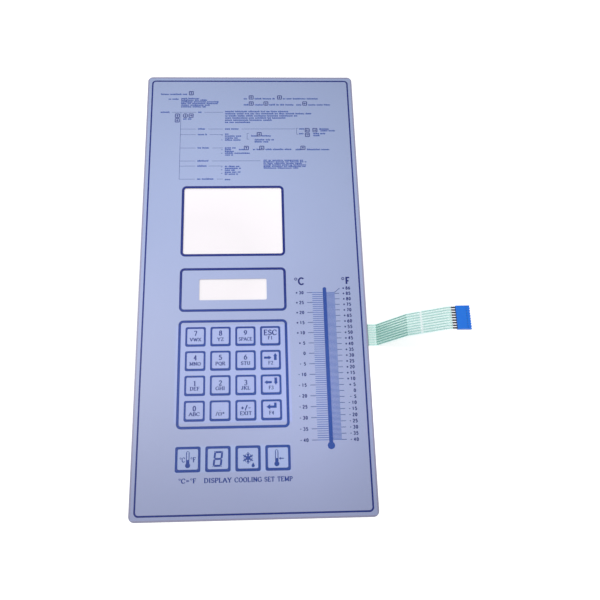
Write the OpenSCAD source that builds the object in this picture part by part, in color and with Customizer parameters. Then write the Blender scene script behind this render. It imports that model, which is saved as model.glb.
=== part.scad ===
// Membrane keypad for a temperature controller: a printed clear overlay over a two-film key
// matrix, with two display windows, a sprung film tail and a nine-way crimp connector.
// Lengths are in millimetres. The origin is the centre of the rear face, +Z points out of the
// front face, +Y points to the top edge, and the tail leaves the right edge along +X.
// The panel's width and height follow from the columns and the rows that are printed on it.

/* [Across the panel] */
// Left edge of the panel to the frames
frame_left = 41.5; // [36:0.5:48]
// Frames to the longest Celsius marks, with room for their numbers
scale_gap = 21; // [18:0.5:28]
// Longest Fahrenheit marks to the right edge, with room for their numbers
scale_margin = 27; // [24:0.5:34]
// Radius of the panel's corners
panel_r = 5.5; // [3:0.5:8]

/* [Down the panel] */
// Top edge of the panel to the display frame, with room for the chart
chart_h = 140; // [130:1:160]
// Height of the display frame
display_h = 82.4; // [70:0.2:95]
// Display frame to the message frame
message_gap = 13.1; // [10:0.1:18]
// Height of the message frame
message_h = 47.8; // [40:0.2:55]
// Message frame to the keypad frame
keypad_gap = 9; // [6:0.5:14]
// Keypad frame to the lower row of keys
low_gap = 16.4; // [12:0.2:22]
// Lower row of keys to the bottom edge, with room for their labels
low_margin = 44.2; // [36:0.2:55]

/* [Layers] */
// Thickness of the release liner on the back
liner_t = 0.12; // [0.08:0.01:0.2]
// Thickness of the rear adhesive
rear_adhesive_t = 0.13; // [0.05:0.01:0.25]
// Thickness of each circuit film
circuit_film_t = 0.15; // [0.1:0.01:0.25]
// Thickness of a printed conductor
trace_t = 0.02; // [0.01:0.005:0.03]
// Thickness of the spacer between the circuit films
spacer_t = 0.2; // [0.15:0.01:0.3]
// Thickness of the adhesive under the overlay
overlay_adhesive_t = 0.13; // [0.05:0.01:0.25]
// Thickness of the background ink
ink_t = 0.03; // [0.02:0.005:0.05]
// Thickness of the line printing
line_t = 0.02; // [0.01:0.005:0.03]
// Thickness of the clear overlay film
overlay_t = 0.25; // [0.15:0.01:0.4]

/* [Border line] */
// Panel edge to the outer edge of the border line
border_inset = 4.5; // [3:0.1:6]
// Width of the border line
border_line = 1.7; // [0.8:0.05:2.2]
// Outer radius of the border line's corners
border_r = 4.5; // [3:0.5:8]

/* [Frames] */
// Width of the frames' line
frame_line = 2.7; // [2:0.1:3.5]
// Outer radius of the frames' corners
frame_r = 5; // [3.5:0.5:8]

/* [Windows] */
// Width of the clear message window
message_window_w = 69.3; // [60:0.5:80]
// Height of the clear message window
message_window_h = 23; // [18:0.5:28]
// Corner radius of the clear message window
message_window_r = 1.5; // [0.5:0.5:4]
// How far the display frame's line covers the edge of its window
frame_lap = 0.8; // [0.3:0.1:1.5]
// How far the layers below the ink stay back from a window
window_setback = 1.2; // [0.5:0.1:2.5]

/* [Keys] */
// Side of a square in the keypad
key_size = 20.5; // [19:0.5:22]
// Distance between the middles of neighbouring keys
key_pitch = 25; // [24:0.5:26]
// Width of a key's outline
key_line = 1.8; // [1:0.1:2.2]
// Outer corner radius of a key's outline
key_r = 2; // [1.5:0.5:4]
// Keys to the outer edge of the keypad frame
key_margin = 7.2; // [5.5:0.1:10]
// Side of a square in the lower row
low_key_size = 24.2; // [22:0.2:26]
// Width of a lower key's outline
low_key_line = 2.3; // [1.5:0.1:2.8]

/* [Temperature scale] */
// Top of the message frame to the highest mark
scale_drop = 28.4; // [20:0.2:40]
// Length of one degree Celsius
degree = 2.156; // [2:0.01:2.2]
// Width of the tube
tube_w = 3.8; // [3:0.1:5]
// Diameter of the bulb
bulb_d = 7.2; // [6:0.1:9]
// Height of the tube above the highest mark
tube_over = 5.8; // [3:0.1:8]
// Middle of the bulb below the lowest mark
bulb_drop = 5.4; // [4.2:0.1:7]
// Width of a mark
tick_line = 0.55; // [0.3:0.05:0.7]
// Length of a short Celsius mark
tick_c_short = 11; // [8:0.5:13]
// Length of a long Celsius mark
tick_c_long = 16.6; // [14:0.5:19]
// Length of a short Fahrenheit mark
tick_f_short = 8.5; // [6:0.5:10]
// Length of a long Fahrenheit mark
tick_f_long = 13.2; // [11:0.5:15]

/* [Chart] */
// Width of the chart's lines
chart_line = 0.35; // [0.25:0.05:0.6]
// Side of a key sign in the chart
sign_size = 5.4; // [4.4:0.1:6]
// Width of a key sign's outline
sign_line = 0.5; // [0.3:0.05:0.8]
// Distance between the middles of two key signs, one under the other
sign_pitch = 6.1; // [6:0.1:7]

/* [Key matrix] */
// Diameter of a contact pad
pad_d = 11; // [8:0.5:13]
// Diameter of the spacer's hole at a key
spacer_hole_d = 15; // [13.5:0.5:18]
// Thickness of the carbon on a contact pad
carbon_t = 0.02; // [0.01:0.005:0.04]
// Width of a printed conductor
trace_w = 1.3; // [0.8:0.1:1.5]
// Width of the spacer's air channels
vent_w = 1.6; // [1:0.1:3]
// Side of a bridge between the two films
bridge_size = 1.7; // [1.2:0.1:1.9]
// Clearance round a bridge in the spacer
bridge_gap = 0.15; // [0.1:0.01:0.25]
// Right edge of the panel to the middles of the bridges
bridge_inset = 18; // [17:0.5:20]

/* [Tail] */
// Middle of the top row of keys down to the middle of the tail
tail_drop = 0.45; // [0:0.05:3]
// Width of a conductor along the tail
lane_w = 1; // [0.8:0.05:1.3]
// Middle of an outer conductor to the edge of the film inside the connector
film_edge = 0.79; // [0.75:0.01:0.9]
// How much further the tail reaches on each side than the film inside the connector
shoulder_w = 1.1; // [0.3:0.1:1.6]
// Width of a black finger
finger_w = 1.6; // [1.5:0.05:1.8]
// Middle of an outer conductor to the edge of the green cover
cover_edge = 0.85; // [0.7:0.05:1]
// Edge of the green cover to the edge of its second print
second_cover_inset = 0.2; // [0.1:0.05:0.5]
// Flat length from the panel's edge to the first bend
tail_flat = 7; // [5:0.5:12]
// Angle of the steep rise
rise_angle = 54; // [40:1:60]
// Straight length of the steep rise
rise_len = 39; // [25:0.5:45]
// Angle of the ramp after the rise
ramp_angle = 32; // [20:1:36]
// Straight length of the ramp up to the crease
ramp_len = 14.5; // [8:0.5:20]
// Angle that the crease turns the ramp down by
crease_turn = 2; // [1:0.5:6]
// Straight length from the crease to the last bend
reach_len = 23.5; // [15:0.5:30]
// Radius of the first two bends at the middle of the film
bend_r = 3.5; // [2:0.5:6]
// Radius of the crease
crease_r = 1; // [0.5:0.1:2]
// Radius of the last bend
droop_r = 12; // [8:1:24]
// Thickness of the green cover printed over the tail's conductors
dielectric_t = 0.03; // [0.02:0.005:0.05]
// Length of the bare black fingers outside the connector
finger_len = 4.2; // [3:0.1:8]

/* [Connector] */
// Distance between neighbouring contacts
contact_pitch = 2.54; // [2.5:0.01:2.56]
// Length of the housing
housing_l = 13.4; // [12.4:0.1:15]
// Thickness of the housing's side walls
side_wall = 0.5; // [0.4:0.05:1.4]
// Thickness of the housing
housing_t = 3.4; // [3.2:0.1:4]
// Length of film inside the housing
insert_len = 5; // [4.6:0.1:5.4]
// Outer side of a contact's receptacle
receptacle = 1.7; // [1.5:0.05:1.8]
// Square opening for the mating pin
pin_opening = 1; // [0.8:0.05:1.1]
// Thickness of the contacts' sheet metal
metal_t = 0.25; // [0.15:0.01:0.3]

/* [Hidden] */
$fn = 48;

// The stack, from the back to the front
rear_adhesive_z = liner_t;
lower_film_z = rear_adhesive_z + rear_adhesive_t;
column_z = lower_film_z + circuit_film_t;
spacer_z = column_z + trace_t;
row_z = spacer_z + spacer_t;
upper_film_z = row_z + trace_t;
overlay_adhesive_z = upper_film_z + circuit_film_t;
ink_z = overlay_adhesive_z + overlay_adhesive_t;
line_z = ink_z + ink_t;
overlay_z = line_z + line_t;

// Numbers of keys, and of the connector's lanes: one for each column and each row of keys
columns = 4;
pad_rows = 4;
rows = pad_rows + 1;
lanes = columns + rows;

// Across: the frames are as wide as the keys need, and the panel as wide as all its columns
frame_w = (columns - 1) * key_pitch + key_size + 2 * key_margin;
scale_left = frame_left + frame_w + scale_gap + tick_c_long + tube_w / 2;
panel_w = scale_left + tube_w / 2 + tick_f_long + scale_margin;

// Down: each row starts where the one above it ends, and the panel is as high as all its rows
display_top = chart_h;
message_top = display_top + display_h + message_gap;
keypad_top = message_top + message_h + keypad_gap;
keypad_h = (pad_rows - 1) * key_pitch + key_size + 2 * key_margin;
low_key_top = keypad_top + keypad_h + low_gap;
panel_h = low_key_top + low_key_size + low_margin;

// Panel places from the left edge and from the top edge
function from_left(d) = d - panel_w / 2;
function from_top(d) = panel_h / 2 - d;

// Middles of the frames, the windows and the keys
frame_x = from_left(frame_left + frame_w / 2);
display_y = from_top(display_top + display_h / 2);
message_y = from_top(message_top + message_h / 2);
keypad_y = from_top(keypad_top + keypad_h / 2);
low_key_y = from_top(low_key_top + low_key_size / 2);
low_key_pitch = (frame_w - low_key_size) / (columns - 1);
display_window_w = frame_w - 2 * frame_line;
display_window_h = display_h - 2 * frame_line;
function key_x(c) = frame_x + (c - (columns - 1) / 2) * key_pitch;
function key_y(r) = keypad_y - (r - (pad_rows - 1) / 2) * key_pitch;
function low_key_x(c) = frame_x + (c - (columns - 1) / 2) * low_key_pitch;
// Middle of any key: rows 0 to 3 are in the keypad and row 4 is the lower row
function pad_at(c, r) = r < pad_rows ? [key_x(c), key_y(r)] : [low_key_x(c), low_key_y];

// Temperature scale
high_c = 30;
low_c = -40;
scale_x = from_left(scale_left);
freezing_f = 32;
function c_y(c) = from_top(message_top + scale_drop) - (high_c - c) * degree;
function f_y(f) = c_y((f - freezing_f) * 5 / 9);
low_f = low_c * 9 / 5 + freezing_f;
high_f = high_c * 9 / 5 + freezing_f;

// Routes of the printed conductors inside the panel
right_edge = panel_w / 2;
tail_y = key_y(0) - tail_drop;
function lane_y(n) = tail_y - (n - (lanes - 1) / 2) * contact_pitch;
root_inset = 3;
root_x = right_edge - root_inset;
route_pitch = 2.3;
bridge_x = right_edge - bridge_inset;
function drop_x(c) = root_x - root_inset / 2 - c * route_pitch;
function gallery_y(c) = key_y(0) + key_size / 2 + 2 + (columns - c) * route_pitch;
function riser_x(r) = bridge_x - 2 - (rows - r) * route_pitch;
low_jog_y = (key_y(pad_rows - 1) + low_key_y) / 2;

// Side view of the tail: straight lengths, each followed by a bend of an angle and a radius
film_mid_z = lower_film_z + circuit_film_t / 2;
lanes_w = (lanes - 1) * contact_pitch;
insert_w = lanes_w + 2 * film_edge;
tail_w = insert_w + 2 * shoulder_w;
cover_w = lanes_w + 2 * cover_edge;
tail_steps = [
    [right_edge - root_x + tail_flat, rise_angle, bend_r],
    [rise_len, ramp_angle - rise_angle, bend_r],
    [ramp_len, -crease_turn, crease_r],
    [reach_len, crease_turn - ramp_angle, droop_r]
];
bend_parts = 10;

// Points [x, z, heading] along the tail's middle line, from step i on
function tail_walk(i, x, z, a) =
    i == len(tail_steps) ? [[x, z, a]] :
    let (
        run = tail_steps[i][0],
        turn = tail_steps[i][1],
        r = sign(turn) * tail_steps[i][2],
        bx = x + run * cos(a),
        bz = z + run * sin(a),
        cx = bx - r * sin(a),
        cz = bz + r * cos(a),
        bend = [
            for (k = [0:bend_parts - 1])
                let (h = a + turn * k / bend_parts) [cx + r * sin(h), cz - r * cos(h), h]
        ],
        b = a + turn
    )
    concat([[x, z, a]], bend, tail_walk(i + 1, cx + r * sin(b), cz - r * cos(b), b));

tail_line = tail_walk(0, root_x, film_mid_z, 0);
tail_end = tail_line[len(tail_line) - 1];
finger_x = tail_end[0];
end_z = tail_end[1];
housing_x = finger_x + finger_len;
film_end_x = housing_x + insert_len;
housing_end_x = housing_x + housing_l;
shoulder_x = housing_x - 0.3;
film_line = concat(tail_line, [[shoulder_x, end_z, 0]]);
insert_line = [[shoulder_x - 0.5, end_z, 0], [film_end_x, end_z, 0]];
// The cover starts at the panel's edge, past the two points inside the panel
cover_line = concat([[right_edge, film_mid_z, 0]], [for (k = [1:len(tail_line) - 1]) tail_line[k]]);
// Its second print runs from the middle of the first bend to the end of the second
second_cover_line = [for (k = [1 + bend_parts / 2:2 * (bend_parts + 1)]) tail_line[k]];

// Connector
film_top = circuit_film_t / 2;
finger_top = film_top + trace_t;
// The covers lie this far off what they cover, so that no two faces share a place
print_gap = 0.002;
cover_low = finger_top + print_gap;
second_cover_low = cover_low + dielectric_t + print_gap;
slot_clearance = 0.15;
housing_w = insert_w + 2 * slot_clearance + 2 * side_wall;
cavity = receptacle + 2 * 0.1;
cavity_start = housing_x + insert_len + 0.5;
end_wall = 0.6;
lance = 0.8;
lance_x = housing_end_x - 3.9;
housing_bottom_z = end_z - housing_t / 2 - 0.1;
tine_w = 0.7;
tine_y = 0.55;
tine_steps = [1.1, 3.2];
tine_clearance = 0.03;

// Rectangle with true round corners, about the origin
module round_rect(w, h, r) {
    square([w - 2 * r, h], center = true);
    square([w, h - 2 * r], center = true);
    for (x = [-1, 1], y = [-1, 1])
        translate([x * (w / 2 - r), y * (h / 2 - r)]) circle(r);
}

// Outline of even width just inside a rounded rectangle
module round_ring(w, h, r, line) {
    difference() {
        round_rect(w, h, r);
        round_rect(w - 2 * line, h - 2 * line, max(r - line, 0.4));
    }
}

// Thick line through points that lie square to each other, with squared ends and corners
module run(points, w) {
    for (i = [0:len(points) - 2])
        let (
            a = points[i],
            b = points[i + 1],
            low = [min(a[0], b[0]) - w / 2, min(a[1], b[1]) - w / 2],
            high = [max(a[0], b[0]) + w / 2, max(a[1], b[1]) + w / 2]
        )
            polygon([low, [high[0], low[1]], high, [low[0], high[1]]]);
}

// Thin straight line from a to b
module stroke(a, b, w) {
    d = b - a;
    translate(a) rotate(atan2(d[1], d[0])) translate([0, -w / 2]) square([norm(d), w]);
}

// Both windows, larger than the clear message window and display window by grow on each side
module windows(grow) {
    translate([frame_x, display_y])
        round_rect(
            display_window_w + 2 * grow, display_window_h + 2 * grow, frame_r - frame_line + grow
        );
    translate([frame_x, message_y])
        round_rect(message_window_w + 2 * grow, message_window_h + 2 * grow, message_window_r + grow);
}

// A full layer of the laminate with both windows open
module layer(z, t, grow) {
    translate([0, 0, z]) linear_extrude(t) difference() {
        round_rect(panel_w, panel_h, panel_r);
        windows(grow);
    }
}

// Printed lines on the rear face of the overlay
module printed() {
    translate([0, 0, line_z]) linear_extrude(line_t) children();
}

// Side profile between two distances from the tail's middle line, as wide as w about y
module ribbon(line, low, high, y, w) {
    function shifted(p, d) = [p[0] - d * sin(p[2]), p[1] + d * cos(p[2])];
    n = len(line);
    translate([0, y + w / 2, 0]) rotate([90, 0, 0]) linear_extrude(w) polygon(concat(
        [for (p = line) shifted(p, low)],
        [for (k = [1:n]) shifted(line[n - k], high)]
    ));
}

// Slots that the contacts' tines pierce through the film and its fingers
module tine_slots() {
    for (n = [0:lanes - 1], s = tine_steps, side = [-1, 1])
        translate([housing_x + s + tine_w / 2, lane_y(n) + side * tine_y, end_z])
            cube([tine_w + 2 * tine_clearance, metal_t + 2 * tine_clearance, 1], center = true);
}

// Clear film that carries all the printing on its rear face
module overlay_film() {
    color("lavender", 0.4)
        translate([0, 0, overlay_z]) linear_extrude(overlay_t) round_rect(panel_w, panel_h, panel_r);
}

// Dark line just inside the panel's edge
module border_print() {
    color("midnightblue") printed()
        round_ring(panel_w - 2 * border_inset, panel_h - 2 * border_inset, border_r, border_line);
}

// Frames round the display window, the message window and the keypad
module frame_print() {
    color("royalblue") printed() {
        translate([frame_x, display_y]) round_ring(frame_w, display_h, frame_r, frame_line);
        translate([frame_x, message_y]) round_ring(frame_w, message_h, frame_r, frame_line);
        translate([frame_x, keypad_y]) round_ring(frame_w, keypad_h, frame_r, frame_line);
    }
}

// Outlines of the sixteen keys and of the four lower keys
module key_outline_print() {
    color("royalblue") printed() {
        for (c = [0:columns - 1], r = [0:pad_rows - 1])
            translate(pad_at(c, r)) round_ring(key_size, key_size, key_r, key_line);
        for (c = [0:columns - 1])
            translate(pad_at(c, pad_rows)) round_ring(low_key_size, low_key_size, key_r, low_key_line);
    }
}

// Arrow along +X with its middle at the origin
module arrow(length, shaft, head_w, head_l) {
    tip = length / 2;
    neck = tip - head_l;
    polygon([
        [tip, 0], [neck, head_w / 2], [neck, shaft / 2], [-tip, shaft / 2],
        [-tip, -shaft / 2], [neck, -shaft / 2], [neck, -head_w / 2]
    ]);
}

// Return arrow: an arrow to the left with a tail that turns up
module return_arrow() {
    rotate(180) arrow(10, 2.3, 5.4, 3.8);
    translate([2.6, 0]) square([2.4, 4]);
}

// Glass tube, filled to the middle, with a bulb
module tube_sign() {
    difference() {
        union() {
            translate([0, 1.5]) round_rect(3.2, 12.4, 1.55);
            translate([0, -5.6]) circle(2.4);
        }
        translate([0, 3.4]) round_rect(2.2, 7.6, 1.05);
    }
}

// Digit eight made of seven bars on a slant
module segment_sign() {
    w = 8.6;
    h = 14.6;
    bar = 1.5;
    gap = 0.3;
    lean = 0.11;
    // One six-sided bar of a length, upright when tall is true
    function bar_points(l, tall) = [
        for (p = [[-l / 2, 0], [-l / 2 + bar / 2, bar / 2], [l / 2 - bar / 2, bar / 2], [l / 2, 0],
            [l / 2 - bar / 2, -bar / 2], [-l / 2 + bar / 2, -bar / 2]])
            tall ? [-p[1], p[0]] : p
    ];
    function leaning(points, x, y) = [for (p = points) [p[0] + x + (p[1] + y) * lean, p[1] + y]];
    flat_len = w - bar - gap;
    tall_len = (h - bar) / 2 - gap;
    for (y = [-1, 0, 1]) polygon(leaning(bar_points(flat_len, false), 0, y * (h - bar) / 2));
    for (x = [-1, 1], y = [-1, 1])
        polygon(leaning(bar_points(tall_len, true), x * (w - bar) / 2, y * (h - bar) / 4));
}

// Snow crystal of six branched arms, with a drop beside it
module frost_sign() {
    arm = 5.4;
    for (k = [0:5]) rotate(30 + 60 * k) {
        translate([0, -0.5]) square([arm, 1]);
        for (side = [-1, 1])
            translate([arm * 0.5, 0]) rotate(side * 50) translate([0, -0.4]) square([2, 0.8]);
    }
    translate([4.8, -7.2]) {
        circle(1.5);
        polygon([[-1.4, 0.5], [0, 3], [1.4, 0.5]]);
    }
}

// Signs on the function keys and on the lower keys, which are drawn for a key of a size and grow
// with it
module key_symbol_print() {
    last = columns - 1;
    key_share = key_size / 20.5;
    low_share = low_key_size / 24.2;
    color("royalblue") printed() {
        for (r = [1, 2]) translate(pad_at(last, r)) scale(key_share) {
            translate([-2.9, 2.4]) rotate(r == 1 ? 0 : 180) arrow(7.4, 1.6, 4.2, 2.9);
            translate([4.7, 3.4]) rotate(r == 1 ? 90 : -90) arrow(7.2, 2.1, 4, 2.8);
        }
        translate(pad_at(last, 3)) scale(key_share) translate([0, 3]) return_arrow();
        translate(pad_at(0, pad_rows)) scale(low_share) tube_sign();
        translate(pad_at(1, pad_rows)) scale(low_share) segment_sign();
        translate(pad_at(2, pad_rows)) scale(low_share) translate([0, 0.3]) frost_sign();
        translate(pad_at(3, pad_rows)) scale(low_share) {
            translate([-1.2, 0]) tube_sign();
            translate([3.1, -0.7]) rotate(180) arrow(5, 0.9, 2.6, 2);
        }
    }
}

// Tube and bulb of the temperature scale
module scale_tube_print() {
    top_y = c_y(high_c) + tube_over;
    bulb_y = c_y(low_c) - bulb_drop;
    color("royalblue") printed() {
        translate([scale_x, top_y - tube_w / 2]) circle(tube_w / 2);
        translate([scale_x - tube_w / 2, bulb_y]) square([tube_w, top_y - tube_w / 2 - bulb_y]);
        translate([scale_x, bulb_y]) circle(bulb_d / 2);
    }
}

// Marks of the temperature scale: Celsius on the left and Fahrenheit on the right
module scale_mark_print() {
    module mark(y, side, length) {
        x = side < 0 ? scale_x - tube_w / 2 - length : scale_x + tube_w / 2;
        translate([x, y - tick_line / 2]) square([length, tick_line]);
    }
    color("mediumblue") printed() {
        for (c = [low_c:high_c]) mark(c_y(c), -1, c % 5 == 0 ? tick_c_long : tick_c_short);
        for (f = [low_f:high_f]) mark(f_y(f), 1, f % 5 == 0 ? tick_f_long : tick_f_short);
        leader_x = scale_x + tube_w / 2 + tick_f_short;
        stroke([leader_x, f_y(high_f)], [leader_x + 5.4, f_y(high_f) + 4.6], tick_line);
    }
}

// Lines of the operating chart above the display window: its trunk, branches, brackets and key
// signs. Places are in hundredths of the panel's width, and of the chart's height down from the
// panel's top edge.
trunk_place = 16.35;
label_place = 24.68;
text_place = 36.57;
// Each branch is [place down, length of its label, end of the line after the label]
chart_branches = [
    [33.43, 1.93, text_place], [49, 3.95, text_place], [54.14, 4.64, text_place],
    [66.29, 6.01, text_place], [77.93, 5.88, 54.29], [82.43, 4.29, text_place],
    [93.93, 8.15, text_place]
];
// Each stub is [place down, start, end] of a line that belongs to no branch
chart_stubs = [[33.43, 12.02, trunk_place], [49, 45.49, 71.24]];
// Each bracket is [place across, top, bottom]
chart_brackets = [[71.89, 48.29, 54], [48.15, 53, 58.36]];
// Each group of signs is [place across, place down, signs below one another]
chart_signs = [
    [21.12, 15.36, 1], [50.26, 19.36, 1], [64.12, 19.36, 1], [50.26, 25.14, 1], [57.42, 25.14, 1],
    [76.39, 25.14, 1], [14.68, 36.57, 2], [21.24, 36.57, 1], [77.08, 50.14, 2], [80.82, 50.14, 1],
    [53.95, 53.86, 1], [47.73, 66.36, 1], [55.11, 66.36, 1], [74.72, 66.36, 1]
];

module chart_print() {
    function at(x, y) = [from_left(x * panel_w / 100), from_top(y * chart_h / 100)];
    // One level line from x1 to x2
    module level(y, x1, x2) {
        run([at(x1, y), at(x2, y)], chart_line);
    }
    label_gap = 1.03;
    hook = 0.86;
    last = len(chart_branches) - 1;
    color("slateblue") printed() {
        run([
            at(trunk_place, chart_branches[0][0]), at(trunk_place, chart_branches[last][0])
        ], chart_line);
        for (b = chart_branches) {
            level(b[0], trunk_place, label_place - label_gap);
            level(b[0], label_place + b[1] + label_gap, b[2]);
        }
        for (t = chart_stubs) level(t[0], t[1], t[2]);
        for (b = chart_brackets) run([
            at(b[0] + hook, b[1]), at(b[0], b[1]), at(b[0], b[2]), at(b[0] + hook, b[2])
        ], chart_line);
        for (g = chart_signs, k = [0:g[2] - 1])
            translate(at(g[0], g[1]) - [0, k * sign_pitch])
                round_ring(sign_size, sign_size, 0.15 * sign_size, sign_line);
    }
}

// Pale background colour behind the printing, open at both windows
module background_ink() {
    color("lightsteelblue") translate([0, 0, ink_z]) linear_extrude(ink_t) difference() {
        round_rect(panel_w, panel_h, panel_r);
        translate([frame_x, display_y]) round_rect(
            display_window_w + 2 * frame_lap, display_window_h + 2 * frame_lap,
            frame_r - frame_line + frame_lap
        );
        translate([frame_x, message_y])
            round_rect(message_window_w, message_window_h, message_window_r);
    }
}

module overlay_adhesive() {
    color("whitesmoke") layer(overlay_adhesive_z, overlay_adhesive_t, window_setback);
}

module upper_circuit_film() {
    color("azure") layer(upper_film_z, circuit_film_t, window_setback);
}

// Silver conductors under the upper film: one run through each row of keys to its bridge
module row_traces() {
    color("silver") translate([0, 0, row_z]) linear_extrude(trace_t)
        for (r = [0:rows - 1]) {
            y = pad_at(0, r)[1];
            lane = lane_y(columns + r);
            run([pad_at(0, r), [riser_x(r), y], [riser_x(r), lane], [bridge_x, lane]], trace_w);
            for (c = [0:columns - 1]) translate(pad_at(c, r)) circle(pad_d / 2);
            translate([bridge_x, lane]) square(bridge_size, center = true);
        }
}

// Carbon faces of the contacts under the upper film
module upper_contact_pads() {
    color("dimgray") translate([0, 0, row_z - carbon_t]) linear_extrude(carbon_t)
        for (c = [0:columns - 1], r = [0:rows - 1]) translate(pad_at(c, r)) circle(pad_d / 2);
}

// Film that keeps the circuits apart, open at each key, with channels that let the air move
// from key to key, and a hole for each bridge
module spacer() {
    color("ghostwhite") difference() {
        layer(spacer_z, spacer_t, window_setback);
        translate([0, 0, spacer_z - 1]) linear_extrude(spacer_t + 2) {
            for (c = [0:columns - 1], r = [0:rows - 1])
                translate(pad_at(c, r)) circle(spacer_hole_d / 2);
            for (r = [0:rows - 1]) run([pad_at(0, r), pad_at(columns - 1, r)], vent_w);
            run([pad_at(0, 0), pad_at(0, pad_rows - 1), [key_x(0), low_key_y]], vent_w);
            for (r = [0:rows - 1]) translate([bridge_x, lane_y(columns + r)])
                square(bridge_size + 2 * bridge_gap, center = true);
        }
    }
}

// Conductive blocks that join each row on the upper film to its lane on the lower film
module bridge_pads() {
    color("gray") for (r = [0:rows - 1])
        translate([bridge_x - bridge_size / 2, lane_y(columns + r) - bridge_size / 2, spacer_z])
            cube([bridge_size, bridge_size, spacer_t]);
}

// Carbon faces of the contacts on the lower film
module lower_contact_pads() {
    color("dimgray") translate([0, 0, spacer_z]) linear_extrude(carbon_t)
        for (c = [0:columns - 1], r = [0:rows - 1]) translate(pad_at(c, r)) circle(pad_d / 2);
}

// Silver conductors on the lower film: one run through each column of keys, a lane from each
// bridge, and all nine lanes along the tail
module column_traces() {
    color("silver") {
        translate([0, 0, column_z]) linear_extrude(trace_t) {
            for (c = [0:columns - 1]) {
                x = key_x(c);
                run([
                    [low_key_x(c), low_key_y], [low_key_x(c), low_jog_y], [x, low_jog_y],
                    [x, gallery_y(c)], [drop_x(c), gallery_y(c)], [drop_x(c), lane_y(c)],
                    [root_x, lane_y(c)]
                ], trace_w);
                for (r = [0:rows - 1]) translate(pad_at(c, r)) circle(pad_d / 2);
            }
            for (n = [columns:lanes - 1]) {
                run([[bridge_x, lane_y(n)], [root_x, lane_y(n)]], trace_w);
                translate([bridge_x, lane_y(n)]) square(bridge_size, center = true);
            }
        }
        for (n = [0:lanes - 1]) ribbon(tail_line, film_top, finger_top, lane_y(n), lane_w);
    }
}

// Clear film under the spacer, cut in one piece with the tail
module lower_circuit_film() {
    color("azure") {
        layer(lower_film_z, circuit_film_t, window_setback);
        difference() {
            union() {
                ribbon(film_line, -film_top, film_top, tail_y, tail_w);
                ribbon(insert_line, -film_top, film_top, tail_y, insert_w);
            }
            tine_slots();
        }
    }
}

// Green insulating print over the tail's conductors
module tail_dielectric() {
    color("aquamarine") ribbon(cover_line, cover_low, cover_low + dielectric_t, tail_y, cover_w);
}

// Second print of the green cover, over the steep rise and its bends
module tail_second_cover() {
    color("mediumaquamarine") ribbon(
        second_cover_line, second_cover_low, second_cover_low + dielectric_t,
        tail_y, cover_w - 2 * second_cover_inset
    );
}

// Black carbon-coated ends of the conductors, left bare for the contacts
module contact_fingers() {
    color("black") difference() {
        for (n = [0:lanes - 1])
            translate([finger_x, lane_y(n) - finger_w / 2, end_z + film_top])
                cube([film_end_x - 0.4 - finger_x, finger_w, trace_t]);
        tine_slots();
    }
}

module rear_adhesive() {
    color("wheat") layer(rear_adhesive_z, rear_adhesive_t, window_setback);
}

module release_liner() {
    color("ivory") layer(0, liner_t, window_setback);
}

// Moulded housing: a slot for the film at the back, a cavity for each receptacle, a pin opening
// in the front wall that is open at the top, and a window for each contact's lance
module connector_housing() {
    slot_l = cavity_start - housing_x;
    slot_low = end_z - film_top - metal_t - slot_clearance;
    slot_high = end_z + finger_top + metal_t + slot_clearance;
    color("dodgerblue") difference() {
        translate([housing_x, tail_y - housing_w / 2, housing_bottom_z])
            cube([housing_l, housing_w, housing_t]);
        translate([housing_x - 1, tail_y - insert_w / 2 - slot_clearance, slot_low])
            cube([slot_l + 1, insert_w + 2 * slot_clearance, slot_high - slot_low]);
        for (n = [0:lanes - 1]) translate([0, lane_y(n), end_z]) {
            translate([cavity_start - 0.01, -cavity / 2, -cavity / 2])
                cube([housing_end_x - end_wall - cavity_start + 0.01, cavity, cavity]);
            translate([housing_end_x - end_wall - 1, -pin_opening / 2, -pin_opening / 2])
                cube([end_wall + 2, pin_opening, pin_opening]);
            translate([lance_x, -lance / 2, 0]) cube([lance, lance, housing_t]);
            translate([housing_end_x - end_wall - 0.1, -pin_opening / 2, 0])
                cube([end_wall + 1, pin_opening, housing_t]);
        }
    }
}

// Nine stamped contacts: tines crimped through the film, a neck and a square receptacle that is
// open under the housing's window
module crimp_contacts() {
    crimp_l = insert_len - 0.5;
    base_w = 2 * tine_y + metal_t;
    neck_w = 0.9;
    box_x = cavity_start + 0.2;
    box_l = housing_end_x - end_wall - 0.2 - box_x;
    base_z = -film_top - metal_t;
    curl = 0.4;
    color("gainsboro") for (n = [0:lanes - 1]) translate([0, lane_y(n), end_z]) {
        translate([housing_x + 0.4, -base_w / 2, base_z]) cube([crimp_l, base_w, metal_t]);
        translate([housing_x + 0.4 + crimp_l - 0.1, -neck_w / 2, base_z])
            cube([box_x + metal_t - housing_x - 0.3 - crimp_l, neck_w, metal_t]);
        for (s = tine_steps, side = [-1, 1]) translate([housing_x + s, side * tine_y, 0]) {
            translate([0, -metal_t / 2, base_z]) cube([tine_w, metal_t, finger_top + metal_t - base_z]);
            translate([0, side > 0 ? -curl : 0, finger_top]) cube([tine_w, curl, metal_t]);
        }
        difference() {
            translate([box_x, -receptacle / 2, -receptacle / 2]) cube([box_l, receptacle, receptacle]);
            translate([box_x - 1, -receptacle / 2 + metal_t, -receptacle / 2 + metal_t])
                cube([box_l + 2, receptacle - 2 * metal_t, receptacle - 2 * metal_t]);
            translate([lance_x + 0.1, 0.1 - lance / 2, 0]) cube([lance - 0.2, lance - 0.2, receptacle]);
        }
        translate([box_x, -neck_w / 2, -receptacle / 2])
            cube([metal_t, neck_w, receptacle / 2 + base_z + metal_t]);
    }
}

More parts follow.
